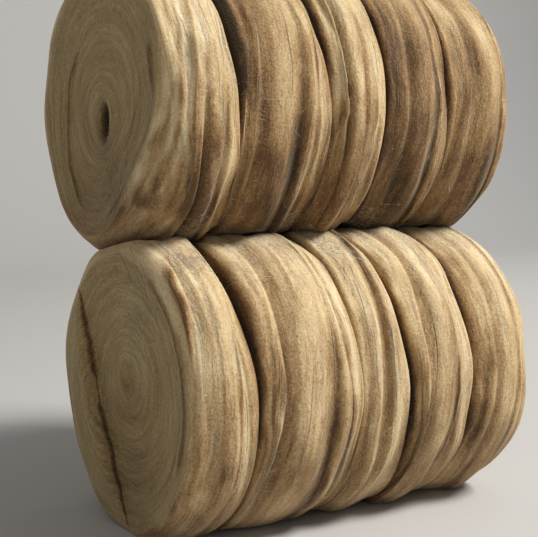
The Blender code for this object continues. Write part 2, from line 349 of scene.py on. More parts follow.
def eye_share(across, up):
    """1 at the middle of the eye left where the winding starts, falling to 0 round it."""
    aside = (across - EYE_OFFSET[0]) / EYE_HALF_WIDTH
    above = (up - EYE_OFFSET[1]) / EYE_HALF_HEIGHT
    return np.exp(-(aside**2) - above**2)


def flap_side(across, up):
    """How far a point of the first lower face is in front of the edge of its flap."""
    at, lean, bow = FLAP_LINE
    return (across - at - lean * up - bow * up**2) / math.hypot(1.0, lean)


def face_relief(row, number, across, up, share):
    """How far an outer face stands in, from places across and up it in radii, and out to its edge."""
    reach = np.clip(share, 0.0, 1.0) ** 4
    if (row, number) == ("lower", 1):
        side = flap_side(across, up)
        inner = 0.5 + 0.5 * np.tanh(side / FLAP_SOFTNESS)
        groove = np.exp(-((side / FLAP_SOFTNESS) ** 2))
        sink = FACE_SINK * (1.0 - reach) * inner - FLAP_RISE * (1.0 - inner) * (1.0 - reach)
        return sink + FLAP_GROOVE * groove * (1.0 - reach)
    dish = END_DISH * (1.0 - reach)
    if number == 1:
        dish = dish + EYE_DEPTH * eye_share(across, up)
    return dish


# What brings the noise to about -1 to 1, and how far apart in it two seeds are
GRAIN_GAIN = 1.6
SEED_STEP = 7.31


def grain(points, seed):
    """Smooth gradient noise from about -1 to 1 at an array of points."""
    draw = np.random.default_rng(seed)
    order = draw.permutation(256)
    slopes = draw.normal(size=(256, 3))
    slopes /= np.linalg.norm(slopes, axis=1)[:, None]
    shape = points.shape[:-1]
    points = points.reshape(-1, 3)
    cell = np.floor(points).astype(int)
    inside = points - cell
    blend = inside**3 * (inside * (inside * 6.0 - 15.0) + 10.0)
    total = np.zeros(len(points))
    for corner in itertools.product((0, 1), repeat=3):
        at = (cell + corner) & 255
        which = order[(order[(order[at[:, 0]] + at[:, 1]) & 255] + at[:, 2]) & 255]
        weight = np.prod(np.where(corner, blend, 1.0 - blend), axis=1)
        total += weight * np.sum(slopes[which] * (inside - corner), axis=1)
    return (total * GRAIN_GAIN).reshape(shape)


def along_fibres(across, places, width, length, seed):
    """Noise drawn out along the winding: width across it and length along it, in metres."""
    points = np.stack([across / width, places[..., 1] / length, places[..., 2] / length], axis=-1)
    return grain(points + seed * SEED_STEP, seed)


def wander(angle, seed, size):
    """A slow sideways wander round a roll, the same at both ends of a turn."""
    draw = np.random.default_rng(seed)
    phases = draw.uniform(0.0, 2.0 * math.pi, 4)
    shares = (0.5, 0.35, 0.3, 0.2)
    return size * sum(
        share * np.sin((turn + 1) * angle + phase)
        for turn, (share, phase) in enumerate(zip(shares, phases))
    )


def edge_wave(row, number, right, angle):
    """How far a roll's edge strays into its neighbour's side, round the roll."""
    draw = np.random.default_rng(70 + 10 * number + 5 * right + len(row) + ord(row[0]))
    waves = np.arange(2, 15)
    sizes = draw.normal(0.0, EDGE_WAVE, len(waves)) / waves**0.7
    phases = draw.uniform(0.0, 2.0 * math.pi, len(waves))
    return sum(size * np.sin(wave * angle + phase) for wave, size, phase in zip(waves, sizes, phases))


def rim_shape(row, number, place, angle):
    """Which wrap a point of the rim is on, how far across it, and its radius."""
    creases = [crease for crease in CREASES[row] if crease[0] == number]
    swell, crown, oval, oval_at = ROLLS[row][number - 1][:4]
    wraps = len(creases) + 1
    wrap = np.minimum((place * wraps).astype(int), wraps - 1)
    step = place * wraps - wrap
    radius = RADIUS + MM * (swell + oval * np.cos(2.0 * (angle - math.radians(oval_at))))
    radius = radius - crown * MM * fade(np.abs(2.0 * place - 1.0), CROWN_FROM, 1.0)
    depths = [np.full_like(angle, RIM_EDGE_DROP)]
    lifts = [np.zeros_like(angle)]
    for _, at, lean, sway, deep, swing, deep_at, lift in creases:
        share = 1.0 - swing + 2.0 * swing * toward(angle, deep_at, 2.0)
        depths.append(deep * MM * share)
        lifts.append(lift * MM * np.minimum(share, 1.0))
    depths.append(np.full_like(angle, RIM_EDGE_DROP))
    depth = np.where(step < 0.5, np.choose(wrap, depths[:-1]), np.choose(wrap, depths[1:]))
    valley = fade(np.abs(2.0 * step - 1.0), VALLEY_FROM, 1.0) ** VALLEY_POWER
    radius = radius + np.choose(wrap, lifts) * (1.0 - valley) - depth * valley
    return wrap, step, radius, depth * valley


def shape_roll(row, number, place, drum, angle):
    """Where the wound roll has a drum's points, from its row's axis, and how creased each is."""
    left, right = JOINTS[row][number - 1 : number + 1]
    outer = (number == 1, number == len(ROLLS[row]))
    creases = [crease for crease in CREASES[row] if crease[0] == number]
    wrap, step, rim_radius, crease_depth = rim_shape(row, number, place, angle)
    on_rim = drum > RIM_SHARE
    at_left = place < 0.5
    roots = [root_radius(joint, angle, end) for joint, end in zip((left, right), outer)]
    root = np.where(at_left, *roots)
    runs = [
        np.maximum(notch_run(joint, angle) + edge_wave(row, number, side, angle), NARROWEST_RUN)
        for side, joint in enumerate((left, right))
    ]
    run = np.where(at_left, *runs)
    turn = np.clip((drum - FACE_SHARE) / (1.0 - FACE_SHARE), 0.0, 1.0) * math.pi / 2.0
    face_radius = root * np.minimum(drum / FACE_SHARE, 1.0)
    radius = np.where(turn > 0.0, root + (rim_radius - root) * np.sin(turn), face_radius)
    radius = np.where(on_rim, rim_radius, radius)
    y, z = -radius * np.cos(angle), radius * np.sin(angle)
    for end, side in zip(outer, (at_left, ~at_left)):
        centre = WINDING_CENTRE.get((row, number), OTHER_CENTRE)
        share = np.where(end & side, 1.0 - np.minimum(drum / FACE_SHARE, 1.0), 0.0) * RADIUS
        y = y - centre[0] * share
        z = z + centre[1] * share
    y, z = press(row, y, z, contact_rise(row, number, place))

    planes = [plane_x(*left[:3], y, z) + HALF_GAP + runs[0]]
    for count, (_, at, lean, sway, *_) in enumerate(creases):
        seed = 100 * number + 10 * count + len(row)
        planes.append(plane_x(at, lean, sway, y, z) + wander(angle, seed, CREASE_WANDER))
    planes.append(plane_x(*right[:3], y, z) - HALF_GAP - runs[1])
    rim_x = np.choose(wrap, planes[:-1]) * (1.0 - step) + np.choose(wrap, planes[1:]) * step
    inward = np.where(at_left, 1.0, -1.0)
    face_x = np.where(at_left, plane_x(*left[:3], y, z), plane_x(*right[:3], y, z))
    face_x = face_x + inward * (HALF_GAP + run * (1.0 - np.cos(turn)))
    relief = face_relief(row, number, -y / RADIUS, z / RADIUS, face_radius / root)
    has_relief = np.where(at_left, outer[0], outer[1]) & ~on_rim
    face_x = face_x + inward * np.where(has_relief & (turn <= 0.0), relief, 0.0)
    places = np.stack([np.where(on_rim, rim_x, face_x), y, z], axis=-1)
    return places, np.where(on_rim, crease_depth, 0.0)


def drum_profile(row, number):
    """The (place, drum) pairs down a roll's side view, from one face's middle to the other's."""
    left, right = JOINTS[row][number - 1 : number + 1]
    columns = round((right[0] - left[0]) * MM / COLUMN)
    ends = []
    for end, outer in ((0.0, number == 1), (1.0, number == len(ROLLS[row]))):
        count = FACE_RINGS if outer else HIDDEN_RINGS
        rings = np.arange(count) / count
        shoulder = np.arange(SHOULDER_RINGS) / SHOULDER_RINGS
        drum = np.concatenate([FACE_SHARE * rings, FACE_SHARE + (1.0 - FACE_SHARE) * shoulder])
        ends.append(np.stack([np.full_like(drum, end), drum], axis=1))
    rim = np.stack([np.linspace(0.0, 1.0, columns + 1), np.ones(columns + 1)], axis=1)
    return np.concatenate([ends[0], rim, ends[1][::-1]])


def surface_normals(places):
    """Outward normals of a grid of places whose second direction closes on itself."""
    down = np.gradient(places, axis=0)
    around = np.roll(places, -1, axis=1) - np.roll(places, 1, axis=1)
    normals = np.cross(around, down)
    return normals / np.maximum(np.linalg.norm(normals, axis=2), 1e-12)[..., None]


def fade(value, low, high):
    """0 below low, 1 above high, and smooth between."""
    share = np.clip((value - low) / (high - low), 0.0, 1.0)
    return share * share * (3.0 - 2.0 * share)


# The relief of the sliver: how wide and how long each kind of form is, in metres
DRIFT = (0.060, 0.16)
SMALL_DRIFT = (0.020, 0.06)
LUMPS = (0.038, 0.09)
BUNDLES = (0.017, 0.14)
ROPES = (0.0085, 0.075)
FINE = (0.0038, 0.035)
STRAY_CREASES = (0.017, 0.17)
STRAY_PATCHES = (0.030, 0.07)
FACE_ROPES = (0.0065, 0.07)
FACE_FINE = (0.0028, 0.04)
TURN_PATCHES = (0.035, 0.10)
RAGGED = (0.012, 0.025)

# How high each stands, in millimetres, and how wide and where in the noise stray creases show
LUMP_HEIGHT = 4.6
BUNDLE_HEIGHT = 0.9
ROPE_HEIGHT = 0.24
FINE_HEIGHT = 0.10
STRAY_DEPTH = 0.8
STRAY_WIDTH = 0.20
STRAY_SHOWS = (0.12, 0.6)
FACE_ROPE_HEIGHT = 0.45
FACE_FINE_HEIGHT = 0.20

# The wound turns on an end face: their width in metres, their height in millimetres
TURN_WIDTH = 0.0068
TURN_HEIGHT = 0.22
TURN_DRIFT = 1.5

# How much painted shade the hollows between them get
STRAY_DARK = 0.7
ROPE_DARK = 0.35
FINE_DARK = 0.2
TURN_DARK = 0.16
FACE_FINE_DARK = 0.15


def rim_relief(fibre, places, across, seed):
    """Height of the bundles and stray creases on a rim, and the painted shade in its hollows."""
    lumps = along_fibres(across, places, *LUMPS, seed + 2)
    bundles = along_fibres(fibre, places, *BUNDLES, seed + 3)
    ropes = along_fibres(fibre, places, *ROPES, seed + 7)
    fine = along_fibres(fibre, places, *FINE, seed + 8)
    line = np.abs(along_fibres(fibre, places, *STRAY_CREASES, seed + 4))
    where = fade(along_fibres(across, places, *STRAY_PATCHES, seed + 5), *STRAY_SHOWS)
    crease = fade(1.0 - line / STRAY_WIDTH, 0.0, 1.0) * where
    height = LUMP_HEIGHT * lumps + BUNDLE_HEIGHT * bundles + ROPE_HEIGHT * ropes
    height = height + FINE_HEIGHT * fine - STRAY_DEPTH * crease
    hollow_shade = STRAY_DARK * crease - ROPE_DARK * bundles - ROPE_DARK * ropes - FINE_DARK * fine
    return height * MM, hollow_shade


def face_turns(fibre, places, across, drift, angle, seed):
    """Height of the wound turns on an end face, which show and fade in patches."""
    turns = np.hypot(places[..., 1], places[..., 2]) + TURN_DRIFT * drift
    spiral = np.sin(2.0 * math.pi * (turns / TURN_WIDTH - angle / (2.0 * math.pi)))
    patch = 0.40 + 0.9 * along_fibres(across, places, *TURN_PATCHES, seed + 9)
    patch = np.clip(patch, 0.05, 1.0)
    ropes = along_fibres(fibre, places, *FACE_ROPES, seed + 7)
    fine = along_fibres(fibre, places, *FACE_FINE, seed + 8)
    height = TURN_HEIGHT * spiral * patch + FACE_ROPE_HEIGHT * ropes + FACE_FINE_HEIGHT * fine
    # Painted shade in the hollows between the turns and ropes
    hollow_shade = -TURN_DARK * spiral * patch - ROPE_DARK * ropes - FACE_FINE_DARK * fine
    return height * MM, hollow_shade


def marks(table, row, number, at, angle, ragged):
    """Depth and tone of the single creases and strands, by place in millimetres and angle; the tone
    is the fibre's own streaks, and painted shade along creases and in the valleys beside joints.
    """
    degrees = np.degrees(angle)
    deep, tone = np.zeros_like(angle), np.zeros_like(angle)
    for roll, start_at, start, end_at, end, width, depth, change in table[row]:
        if roll != number:
            continue
        low, high = min(start, end), max(start, end)
        path = start_at + (end_at - start_at) * np.clip((degrees - start) / (end - start), 0.0, 1.0)
        comes_in = fade(degrees, low - MARK_ENDS, low + MARK_ENDS)
        window = comes_in - fade(degrees, high - MARK_ENDS, high + MARK_ENDS)
        share = np.exp(-(((at - path + MARK_RAGGED * width * ragged) / width) ** 2)) * window
        deep = deep + depth * share
        tone = tone + change * share
    return deep, tone


def fan_sweep(places, angle):
    """How far the strands of the first upper roll are swept over its left edge as they come down."""
    first, last = FAN_ANGLES
    turned = np.clip(np.degrees(angle), first, last) - last
    across = (places[..., 0] - FIRST_FACE[0]) / MM
    return FAN_SWEEP * turned * (1.0 - fade(across, *FAN_REACH)) * MM


def flap_shade_line(places, edge, ragged):
    """How far a point is from the painted shade line under the flap, more than it is where the line
    is faint.
    """
    height = places[..., 2] / MM
    strong = fade(height, *LINE_ABOVE) + LINE_BELOW_SHARE * fade(-height, *LINE_BELOW)
    return RADIUS * (edge + LINE_RAGGED * ragged) / np.maximum(strong, LINE_FAINTEST)


# How far the winding strays, and how far apart in the noise the rolls are
DRIFT_SIZE = 5.0 * MM
SMALL_DRIFT_SIZE = 2.2 * MM
ROLL_OFFSET = 0.5

# How much painted shade the hollows get: the depth of a crease that counts as one, a notch and what
# it gains where it gapes, a mark for each millimetre, the eye, and what is near the contact or
# pressed
CREASE_FULL = 3.5 * MM
NOTCH_FROM = 5.0 * MM
NOTCH_FULL = 17.0 * MM
NOTCH_PAINTED_SHADE = 1.4
GAPING_PAINTED_SHADE = 2.3
MARK_PAINTED_SHADE = 0.26
EYE_PAINTED_SHADE = 6.0
NEAR_REACH = 15.0 * MM
NEAR_CONTACT_PAINTED_SHADE = 0.75
PRESSED_FULL = 2.0 * MM
PRESSED_PAINTED_SHADE = 1.2

# How much painted light pales the tops of the rolls, how much painted shade darkens their undersides,
# and how much paler the flap's edge is
TOP_PAINTED_LIGHT = 0.16
UNDER_PAINTED_SHADE = 0.06
FLAP_PALER = 0.06


def wound_surface(row, number):
    """A roll's surface as a grid, profile points by steps round, with what its material reads."""
    profile = drum_profile(row, number)
    place, turn = np.meshgrid(profile[:, 0], np.arange(ROUND_STEPS), indexing="ij")
    drum = np.repeat(profile[:, 1:], ROUND_STEPS, axis=1)
    angle = SEAM_ANGLE + 2.0 * math.pi * turn / ROUND_STEPS
    places, crease = shape_roll(row, number, place, drum, angle)
    steps = np.linalg.norm(np.diff(places, axis=0), axis=2)
    across = np.concatenate([[0.0], np.cumsum(steps.max(axis=1))])
    across = np.repeat(across[:, None], ROUND_STEPS, axis=1) + ROLL_OFFSET * number
    seed = 40 * number + 7 * len(row) + ord(row[0])
    drift = DRIFT_SIZE * along_fibres(across, places, *DRIFT, seed)
    drift += SMALL_DRIFT_SIZE * along_fibres(across, places, *SMALL_DRIFT, seed + 1)
    fibre = across + drift
    if (row, number) == ("upper", 1):
        fibre = fibre - fan_sweep(places, angle) * fade(drum, *FAN_SHOULDER)
    edge_shift = FACE_EDGE_SHIFT.get((row, number), OTHER_EDGE_SHIFT)
    on_face = np.clip((FACE_SHARE + edge_shift - drum) / FACE_EDGE_SOFTNESS, 0.0, 1.0)
    rim_height, rim_hollow_shade = rim_relief(fibre, places, across, seed)
    face_height, face_hollow_shade = face_turns(fibre, places, across, drift, angle, seed)
    relief = rim_height * (1.0 - on_face) + face_height * on_face
    at_left = place < 0.5
    inner = np.where(at_left, number > 1, number < len(ROLLS[row]))
    relief = np.where(inner & (drum <= FACE_SHARE), 0.0, relief)
    radius = np.hypot(places[..., 1], places[..., 2])
    # Painted shade down the notches between rolls, more where a notch gapes, and in the creases by
    # their depth
    notch = fade(RADIUS - radius, NOTCH_FROM, NOTCH_FULL)
    notch = np.where(inner & (drum < RIM_SHARE), notch, 0.0)
    hollow_shade = rim_hollow_shade * (1.0 - on_face) + face_hollow_shade * on_face
    joints = JOINTS[row][number - 1 : number + 1]
    gaping = np.where(at_left, *(toward(angle, *joint[5:]) for joint in joints))
    hollow_shade = hollow_shade + crease / CREASE_FULL + (NOTCH_PAINTED_SHADE + GAPING_PAINTED_SHADE * gaping) * notch
    on_end = at_left & ~inner & (drum < RIM_SHARE)
    across_row = (places[..., 0] - FIRST_FACE[0]) / MM
    ragged = along_fibres(across, places, *RAGGED, seed + 10)
    rim_deep, rim_tone = marks(RIM_MARKS, row, number, across_row, angle, ragged)
    face_deep, face_tone = marks(FACE_MARKS, row, number, radius / MM, angle, ragged)
    deep = np.where(on_end, face_deep, 0.0) + rim_deep * (1.0 - on_face)
    relief = relief - deep * MM
    # Painted shade in the marks' creases, by their depth
    hollow_shade = hollow_shade + MARK_PAINTED_SHADE * deep
    # Painted light on the tops of the rolls and painted shade on their undersides, weaker on the
    # faces
    tone = ROLLS[row][number - 1][4] + TOP_PAINTED_LIGHT * np.sin(angle) * (1.0 - 0.7 * on_face)
    tone = tone - UNDER_PAINTED_SHADE * fade(-np.sin(angle), 0.05, 0.6) * (1.0 - on_face)
    # The marks' tones: the fibre's own streaks, and painted shade along creases and in valleys
    tone = tone + np.where(on_end, face_tone, 0.0) + rim_tone * (1.0 - on_face)
    line = np.full_like(tone, NO_LINE)
    if (row, number) == ("lower", 1):
        edge = flap_side(-places[..., 1] / RADIUS, places[..., 2] / RADIUS)
        tone = tone + np.where(on_end, FLAP_PALER * fade(-edge, 0.0, 0.03) * on_face, 0.0)
        # Painted shade along the line under the flap
        line = np.where(at_left, flap_shade_line(places, edge, ragged), NO_LINE)
    if (row, number) == ("upper", 1):
        # Painted shade in the eye's hole, in place of the relief's
        eye = eye_share(-places[..., 1] / RADIUS, places[..., 2] / RADIUS)
        hollow_shade = hollow_shade * (1.0 - np.where(on_end, eye**0.5, 0.0))
        hollow_shade = hollow_shade + np.where(on_end, EYE_PAINTED_SHADE * eye, 0.0)
    places = places + surface_normals(places) * relief[..., None]
    rise = contact_rise(row, number, place)
    y, z = press(row, places[..., 1], places[..., 2], rise)
    pressed = np.hypot(y - places[..., 1], z - places[..., 2])
    # Painted shade near the contact between the rows and where the rolls are pressed flat
    near = fade(past_contact(row, places[..., 1], places[..., 2], rise), -NEAR_REACH, 0.0)
    hollow_shade = hollow_shade + NEAR_CONTACT_PAINTED_SHADE * near**2 + PRESSED_PAINTED_SHADE * fade(pressed, 0.0, PRESSED_FULL)
    places = np.stack([places[..., 0], y, z], axis=-1)
    places[0] = places[0].mean(axis=0)
    places[-1] = places[-1].mean(axis=0)
    places = places + (0.0, *row_axis(row))
    return {
        "places": places,
        "fibre": fibre,
        "hollow_shade": hollow_shade,
        "on_face": on_face,
        "tone": tone,
        "line": line,
    }


def rolled_grid(name, rows):
    """A grid rolled round X into a drum, with its seam and the middles of its ends merged."""
    bpy.ops.mesh.primitive_grid_add(x_subdivisions=rows - 1, y_subdivisions=ROUND_STEPS, size=2.0)
    drum = bpy.context.object
    drum.name = name
    drum.data.name = name
    flat = np.zeros(len(drum.data.vertices) * 3)
    drum.data.vertices.foreach_get("co", flat)
    share = (flat.reshape(-1, 3) + 1.0) / 2.0
    down = np.rint(share[:, 0] * (rows - 1)).astype(np.int32)
    around = np.rint(share[:, 1] * ROUND_STEPS).astype(np.int32) % ROUND_STEPS
    angle = SEAM_ANGLE + 2.0 * math.pi * around / ROUND_STEPS
    bulge = np.where(down < rows - 1, np.sin(math.pi * share[:, 0]), 0.0)
    rolled = np.stack([share[:, 0], -bulge * np.cos(angle), bulge * np.sin(angle)], axis=1)
    drum.data.vertices.foreach_set("co", rolled.ravel())
    for which, index in (("down", down), ("around", around)):
        layer = drum.data.attributes.new(which, "INT", "POINT")
        layer.data.foreach_set("value", index)
    bpy.ops.object.mode_set(mode="EDIT")
    bpy.ops.mesh.select_all(action="SELECT")
    bpy.ops.mesh.remove_doubles(threshold=0.000001)
    bpy.ops.mesh.normals_make_consistent(inside=False)
    bpy.ops.object.mode_set(mode="OBJECT")
    return drum


def take_index(mesh, which):
    """Reads and removes the grid index that a drum's points were given."""
    index = np.zeros(len(mesh.vertices), dtype=np.int32)
    mesh.attributes[which].data.foreach_get("value", index)
    mesh.attributes.remove(mesh.attributes[which])
    return index


def add_values(mesh, which, values):
    """Gives a mesh's points a value each, for its material to read."""
    layer = mesh.attributes.new(which, "FLOAT", "POINT")
    layer.data.foreach_set("value", np.ascontiguousarray(values, dtype=np.float32))


def hemp_material():
    """Dry combed hemp: long streaks from straw to brown along the winding, greyer end faces."""
    material = bpy.data.materials.new("combed_hemp")
    material.use_nodes = True
    nodes = material.node_tree.nodes
    links = material.node_tree.links
    shader = nodes["Principled BSDF"]
    shader.inputs["Roughness"].default_value = 0.75
    shader.inputs["Specular IOR Level"].default_value = 0.25
    shader.inputs["Sheen Weight"].default_value = 0.28
    shader.inputs["Sheen Roughness"].default_value = 0.5
    shader.inputs["Sheen Tint"].default_value = (1.0, 0.84, 0.60, 1.0)
    shader.inputs["Subsurface Weight"].default_value = 0.6
    shader.inputs["Subsurface Radius"].default_value = (1.0, 0.75, 0.5)
    shader.inputs["Subsurface Scale"].default_value = 0.010

    def value_of(which):
        """A value that the mesh's points carry."""
        node = nodes.new("ShaderNodeAttribute")
        node.attribute_name = which
        return node.outputs["Fac"]

    def calculate(operation, *values):
        """A math node's result, its inputs either numbers or other nodes' outputs."""
        node = nodes.new("ShaderNodeMath")
        node.operation = operation
        for socket, value in zip(node.inputs, values):
            if isinstance(value, float):
                socket.default_value = value
            else:
                links.new(value, socket)
        return node.outputs[0]

    def noise(vector, detail):
        node = nodes.new("ShaderNodeTexNoise")
        node.inputs["Scale"].default_value = 1.0
        node.inputs["Detail"].default_value = detail
        node.inputs["Roughness"].default_value = 0.6
        links.new(vector, node.inputs["Vector"])
        return node.outputs["Fac"]

    def streaks(width, length, offset):
        """Noise drawn out along the winding: width across it, length along it, in metres."""
        spread = nodes.new("ShaderNodeCombineXYZ")
        links.new(calculate("MULTIPLY_ADD", fibre, 1.0 / width, offset), spread.inputs[0])
        links.new(calculate("MULTIPLY", place.outputs["Y"], 1.0 / length), spread.inputs[1])
        links.new(calculate("MULTIPLY", place.outputs["Z"], 1.0 / length), spread.inputs[2])
        return noise(spread.outputs[0], 2.0)

    def speckle(size):
        """Noise of the same size every way, in metres."""
        spread = nodes.new("ShaderNodeVectorMath")
        spread.operation = "SCALE"
        spread.inputs["Scale"].default_value = 1.0 / size
        links.new(coordinates.outputs["Object"], spread.inputs[0])
        return noise(spread.outputs[0], 2.0)

    def add_swing(tone, value, swing):
        """Adds a noise value to the tone, as so much either way."""
        return calculate("ADD", tone, calculate("MULTIPLY_ADD", value, 4.0 * swing, -2.0 * swing))

    # The place across the winding, strayed by noise, and the noises that follow it
    coordinates = nodes.new("ShaderNodeTexCoord")
    place = nodes.new("ShaderNodeSeparateXYZ")
    links.new(coordinates.outputs["Object"], place.inputs[0])
    fibre = calculate("MULTIPLY_ADD", speckle(0.014), 0.0085, value_of("fibre"))
    fibre = calculate("MULTIPLY_ADD", speckle(0.0045), 0.0038, fibre)
    lock = streaks(0.0045, 0.045, 23.0)
    hair = streaks(0.0015, 0.011, 37.0)
    fuzz = speckle(0.0021)

    # The tone: broad forms, calmer on the faces, then the fine ones, the painted shade of the hollows
    # and the painted shade of the line under the flap
    broad = add_swing(0.0, streaks(0.024, 0.16, 3.0), 0.09)
    broad = add_swing(broad, speckle(0.045), 0.08)
    broad = add_swing(broad, streaks(0.0085, 0.08, 11.0), 0.065)
    calm = calculate("MULTIPLY_ADD", value_of("on_face"), -0.6, 1.0)
    tone = calculate("MULTIPLY_ADD", broad, calm, value_of("tone"))
    tone = add_swing(tone, lock, 0.075)
    tone = add_swing(tone, hair, 0.055)
    tone = add_swing(tone, fuzz, 0.10)
    # The painted shade of the hollows darkens the tone
    tone = calculate("MULTIPLY_ADD", value_of("hollow_shade"), -0.17, tone)
    tone = calculate("MULTIPLY_ADD", value_of("on_face"), -0.17, tone)
    # Painted shade of the line under the flap
    line = calculate("ABSOLUTE", value_of("line"))
    line = calculate("MAXIMUM", calculate("MULTIPLY_ADD", line, -1.0 / LINE_HALF_WIDTH, 1.0), 0.0)
    tone = calculate("MULTIPLY_ADD", calculate("MULTIPLY", line, value_of("on_face")), -0.34, tone)

    # The colour of each tone, greyer on the faces
    ramp = nodes.new("ShaderNodeValToRGB")
    stops = ramp.color_ramp.elements
    stops[0].position = 0.0
    stops[0].color = (0.040, 0.022, 0.009, 1.0)
    stops[1].position = 1.0
    stops[1].color = (0.90, 0.78, 0.55, 1.0)
    for position, colour in (
        (0.22, (0.165, 0.083, 0.030, 1.0)),
        (0.45, (0.400, 0.256, 0.114, 1.0)),
        (0.70, (0.690, 0.530, 0.302, 1.0)),
    ):
        stops.new(position).color = colour
    links.new(tone, ramp.inputs["Fac"])
    grey = nodes.new("ShaderNodeMix")
    grey.data_type = "RGBA"
    grey.blend_type = "MULTIPLY"
    grey.inputs["B"].default_value = (0.84, 0.92, 0.90, 1.0)
    links.new(value_of("on_face"), grey.inputs["Factor"])
    links.new(ramp.outputs["Color"], grey.inputs["A"])
    links.new(grey.outputs["Result"], shader.inputs["Base Color"])

    bump = nodes.new("ShaderNodeBump")
    bump.inputs["Strength"].default_value = 0.9
    bump.inputs["Distance"].default_value = 0.0010
    height = calculate("MULTIPLY_ADD", hair, 0.4, calculate("MULTIPLY_ADD", fuzz, 1.1, lock))
    links.new(height, bump.inputs["Height"])
    links.new(bump.outputs["Normal"], shader.inputs["Normal"])
    return material


def dress(piece, row, number):
    """Gives a piece the hemp, attaches it to the root and hides the imported roll it stands for."""
    piece.data.materials.append(hemp)
    piece.data.shade_smooth()
    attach(piece, "root")
    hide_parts(f"roll_{row}_{number}")


hemp = hemp_material()
surfaces = {}
for row in ("lower", "upper"):
    for number in range(1, len(ROLLS[row]) + 1):
        surface = wound_surface(row, number)
        surfaces[row, number] = surface
        roll = rolled_grid(f"{row}_roll_{number}", len(surface["places"]))
        down, around = take_index(roll.data, "down"), take_index(roll.data, "around")
        points = surface["places"][down, around]
        roll.data.vertices.foreach_set("co", points.ravel().astype(np.float32))
        for which in ("fibre", "hollow_shade", "on_face", "tone", "line"):
            add_values(roll.data, which, surface[which][down, around])
        dress(roll, row, number)

# The loose locks
# Thin locks of fibre that were not laid in with their sliver. They lie along the winding, hardly
# proud of it, and taper away into it at both ends.
LOCKS_A_ROLL = 40
LOCK_POINTS = 14
LOCK_SIDES = 5
LOCK_LENGTHS = (0.06, 0.24)
LOCK_SLOPE = 0.035
LOCK_BEND = 0.010
LOCK_HALF_WIDTHS = (0.25, 0.7)
LOCK_TIP = 0.05 * MM
LOCK_FLATNESS = 0.45
FLOOR_CLEAR = 0.1 * MM
HOLLOW_PAINTED_SHADE = 0.15
FACE_DARKER = 0.10


def sample(grid, down, around):
    """Values of a surface's grid between its points."""
    down = np.clip(down, 0.0, len(grid) - 1.001)
    top, left = np.floor(down).astype(int), np.floor(around).astype(int)
    share_down = (down - top)[..., None]
    share_around = (around - left)[..., None]
    left, right = left % ROUND_STEPS, (left + 1) % ROUND_STEPS
    upper = grid[top, left] * (1.0 - share_around) + grid[top, right] * share_around
    lower = grid[top + 1, left] * (1.0 - share_around) + grid[top + 1, right] * share_around
    return upper * (1.0 - share_down) + lower * share_down


def lay_along(surface, row, starts, lengths, slopes, bends, points):
    """Paths laid on a roll along its winding: places, outward directions, and how far along."""
    places = surface["places"]
    normals = surface["normals"]
    along = np.linspace(-0.5, 0.5, points)[None, :]
    from_axis = sample(places, *starts) - (0.0, *row_axis(row))
    radius = np.maximum(np.hypot(from_axis[:, 1], from_axis[:, 2]), 0.03)
    spacing = np.linalg.norm(
        sample(places, starts[0] + 1.0, starts[1]) - sample(places, *starts), axis=1
    )
    turned = along * (lengths / radius)[:, None] * ROUND_STEPS / (2.0 * math.pi)
    aside = slopes[:, None] * along + bends[:, None] * np.sin(2.0 * math.pi * along)
    aside = aside * (lengths / np.maximum(spacing, 0.5 * MM))[:, None]
    down = starts[0][:, None] + aside
    around = starts[1][:, None] + turned
    return sample(places, down, around), sample(normals, down, around), along + 0.5


def tone_at(surface, starts):
    """The tone of a roll at some places, with painted shade in its hollows."""
    tone = surface["tone"] - HOLLOW_PAINTED_SHADE * np.maximum(surface["hollow_shade"], 0.0)
    tone = tone - FACE_DARKER * surface["on_face"]
    return sample(tone[..., None], *starts)[:, 0]


def unit(vectors):
    """The vectors brought to a length of 1."""
    return vectors / np.maximum(np.linalg.norm(vectors, axis=-1), 1e-9)[..., None]


def strands(name, paths, outward, widths, heights, sides):
    """One mesh of closed, tapering strands, a ring of so many sides at each point of a path."""
    count, points = paths.shape[:2]
    along = unit(np.gradient(paths, axis=1))
    side = unit(np.cross(along, outward))
    out = np.cross(side, along)
    turn = 2.0 * math.pi * np.arange(sides) / sides
    rings = paths[:, :, None] + side[:, :, None] * (widths[..., None] * np.cos(turn))[..., None]
    rings = rings + out[:, :, None] * (heights[..., None] * np.sin(turn))[..., None]
    rings[..., 2] = np.maximum(rings[..., 2], FLOOR_CLEAR)
    index = np.arange(count * points * sides).reshape(count, points, sides)
    beside = np.roll(index, -1, axis=2)
    walls = np.stack([index[:, :-1], index[:, 1:], beside[:, 1:], beside[:, :-1]], axis=-1)
    caps = np.concatenate([index[:, 0], index[:, -1, ::-1]])
    mesh = bpy.data.meshes.new(name)
    mesh.from_pydata(rings.reshape(-1, 3).tolist(), [], walls.reshape(-1, 4).tolist() + caps.tolist())
    piece = bpy.data.objects.new(name, mesh)
    bpy.context.collection.objects.link(piece)
    return piece


def add_strand_values(piece, tones, count, points, sides, draw):
    """The values that the hemp's material reads, one tone and one place for each strand."""
    each = points * sides
    add_values(piece.data, "tone", np.repeat(tones, each))
    add_values(piece.data, "fibre", np.repeat(draw.uniform(0.0, 2.0, count), each))
    add_values(piece.data, "hollow_shade", np.zeros(count * each))
    add_values(piece.data, "on_face", np.zeros(count * each))
    add_values(piece.data, "line", np.full(count * each, NO_LINE))


